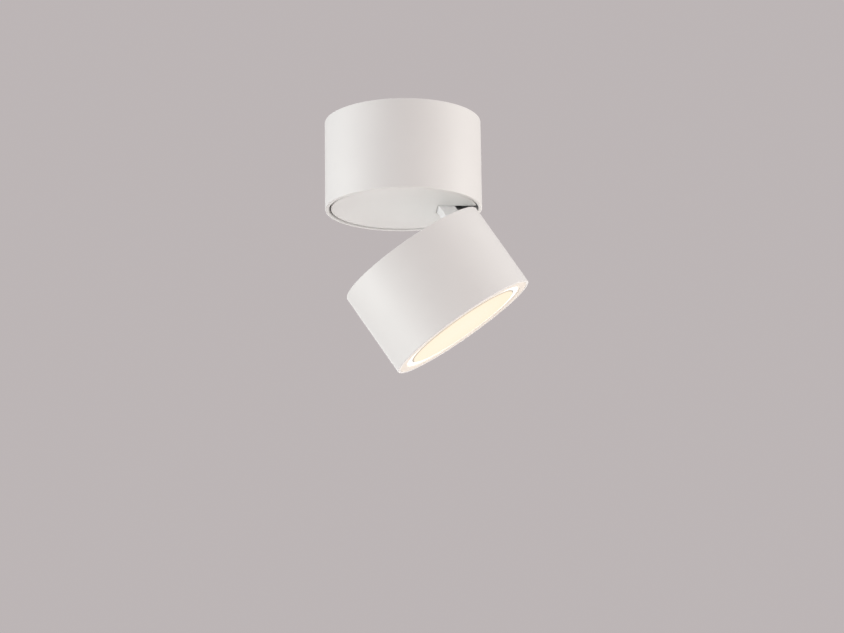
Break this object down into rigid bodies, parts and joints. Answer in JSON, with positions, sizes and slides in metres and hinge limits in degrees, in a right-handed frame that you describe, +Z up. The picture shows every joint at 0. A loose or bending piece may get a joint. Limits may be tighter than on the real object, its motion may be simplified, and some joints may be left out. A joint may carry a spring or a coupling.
{
  "type": "surface mounted ceiling spotlight",
  "caption": "White round ceiling spotlight: a fixed canopy, a cover disc that turns in its underside and a round LED head that tilts on a side hinge.",
  "frame": {"origin": "centre of the mounting plate's ceiling face", "axes": "+Z up into the ceiling, +X towards the tilt hinge and the side that the open head shines to, +Y away from the picture's viewer"},
  "size_m": [0.1129, 0.088, 0.1429],
  "materials": {
    "powder_white": "satin powder coat, fine texture",
    "plastic_white": "semi-gloss",
    "opal": "opal, lit warm white",
    "zinc_steel": "zinc plated",
    "bare_aluminium": "as cast",
    "brass": "plain",
    "nylon": "matt",
    "black_rubber": "matt",
    "circuit_green": "solder mask",
    "phosphor": "matt",
    "brown_sheath": "satin",
    "blue_sheath": "satin",
    "green_sheath": "satin, with a yellow stripe",
    "white_sheath": "satin"
  },
  "bodies": {
    "canopy": {"mounting_plate": "zinc_steel", "cable_grommet": "black_rubber", "earth_screw": "brass", "canopy_housing": "powder_white", "canopy_screw_left": "zinc_steel", "canopy_screw_right": "zinc_steel", "bridge_plate": "zinc_steel", "bridge_screw_1": "zinc_steel", "bridge_screw_2": "zinc_steel", "bridge_screw_3": "zinc_steel", "stop_pin": "zinc_steel", "terminal_block": "plastic_white", "terminal_screw_1": "brass", "terminal_screw_2": "brass", "terminal_screw_3": "brass", "terminal_fixing_screw": "zinc_steel", "driver_base": "plastic_white", "driver_board": "circuit_green", "driver_cover": "plastic_white", "driver_screw_left": "zinc_steel", "driver_screw_right": "zinc_steel", "mains_wire_live": "brown_sheath", "mains_wire_neutral": "blue_sheath", "earth_wire": "green_sheath", "output_cable": "white_sheath"},
    "turntable": {"turntable_disc": "powder_white", "swivel_post": "zinc_steel", "swivel_washer": "nylon", "stop_washer": "zinc_steel", "swivel_nut": "brass", "hinge_bracket": "zinc_steel", "bracket_screw_near": "zinc_steel", "bracket_screw_far": "zinc_steel", "swivel_lead": "white_sheath"},
    "head": {"head_housing": "powder_white", "hinge_arm": "powder_white", "arm_screw_near": "zinc_steel", "arm_screw_far": "zinc_steel", "hinge_pin": "zinc_steel", "hinge_nut": "zinc_steel", "hinge_washer_near": "nylon", "hinge_washer_far": "nylon", "heat_sink": "bare_aluminium", "heat_sink_screw_1": "zinc_steel", "heat_sink_screw_2": "zinc_steel", "heat_sink_screw_3": "zinc_steel", "led_board": "plastic_white", "led_emitter": "phosphor", "board_screw_near": "zinc_steel", "board_screw_far": "zinc_steel", "reflector": "plastic_white", "diffuser": "opal", "diffuser_ring": "plastic_white", "front_bezel": "powder_white", "head_lead": "white_sheath"}
  },
  "joints": [
    {"name": "swivel", "type": "hinge", "parent": "canopy", "child": "turntable", "pos_m": [0, 0, -0.0505], "axis": [0, 0, 1], "range_deg": [-165, 165]},
    {"name": "tilt", "type": "hinge", "parent": "turntable", "child": "head", "pos_m": [0.0386, 0, -0.0583], "axis": [0, -1, 0], "range_deg": [-34, 1]}
  ]
}
